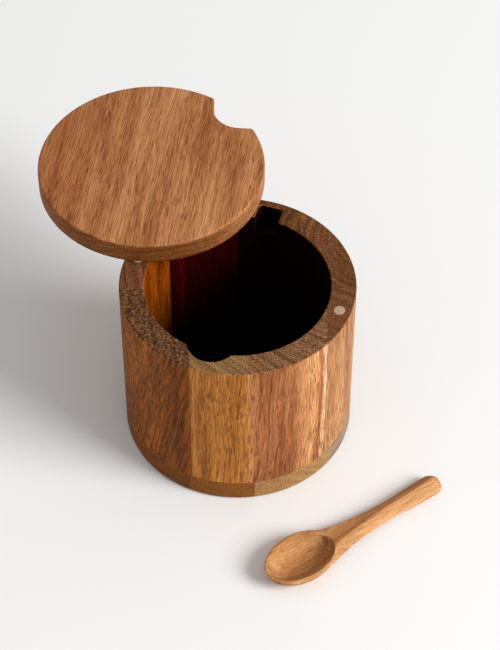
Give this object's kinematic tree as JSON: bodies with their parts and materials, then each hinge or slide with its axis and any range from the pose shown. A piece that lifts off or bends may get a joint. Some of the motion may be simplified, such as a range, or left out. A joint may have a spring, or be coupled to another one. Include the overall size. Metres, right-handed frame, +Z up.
{
  "type": "sugar bowl",
  "caption": "Round wooden sugar bowl with a swivel lid held shut by magnets, thumb notch, rim recesses that cradle a small wooden spoon.",
  "frame": {"origin": "centre of the base's underside, on the axis of the round body", "axes": "+Z up out of the bowl; +X from the body's axis towards the magnet in the rim, away from the lid's pivot; the spoon's scallop is near -Y and its handle notch near +Y. The lid rests swung open and the spoon lies on the same surface as the base."},
  "size_m": [0.205, 0.1811, 0.0948],
  "materials": {
    "body_wood": "oiled acacia blocks, glued up, turned and sanded",
    "base_wood": "oiled acacia boards, glued up, turned and sanded",
    "lid_wood": "oiled acacia, sanded",
    "spoon_wood": "oiled acacia, carved and sanded",
    "magnet": "nickel plated disc magnet, satin",
    "pin_steel": "ground steel dowel",
    "washer": "thin nylon washer"
  },
  "bodies": {
    "bowl": {"wall_front_1": "body_wood", "wall_front_2": "body_wood", "wall_front_3": "body_wood", "wall_front_4": "body_wood", "wall_back_1": "body_wood", "wall_back_2": "body_wood", "wall_back_3": "body_wood", "wall_back_4": "body_wood", "wall_back_5": "body_wood", "base_board_1": "base_wood", "base_board_2": "base_wood", "base_board_3": "base_wood", "base_board_4": "base_wood", "rim_magnet": "magnet"},
    "lid": {"lid": "lid_wood", "lid_magnet": "magnet", "pivot_pin": "pin_steel", "pivot_washer": "washer"},
    "spoon": {"spoon": "spoon_wood"}
  },
  "joints": [
    {"name": "lid_swing", "type": "hinge", "parent": "bowl", "child": "lid", "pos_m": [-0.04499, 0.00079, 0.0849], "axis": [0, 0, 1], "range_deg": [-105, 75]},
    {"name": "spoon_lift", "type": "slide", "parent": "bowl", "child": "spoon", "axis": [0, 0, 1], "range_m": [0, 0.15]}
  ]
}
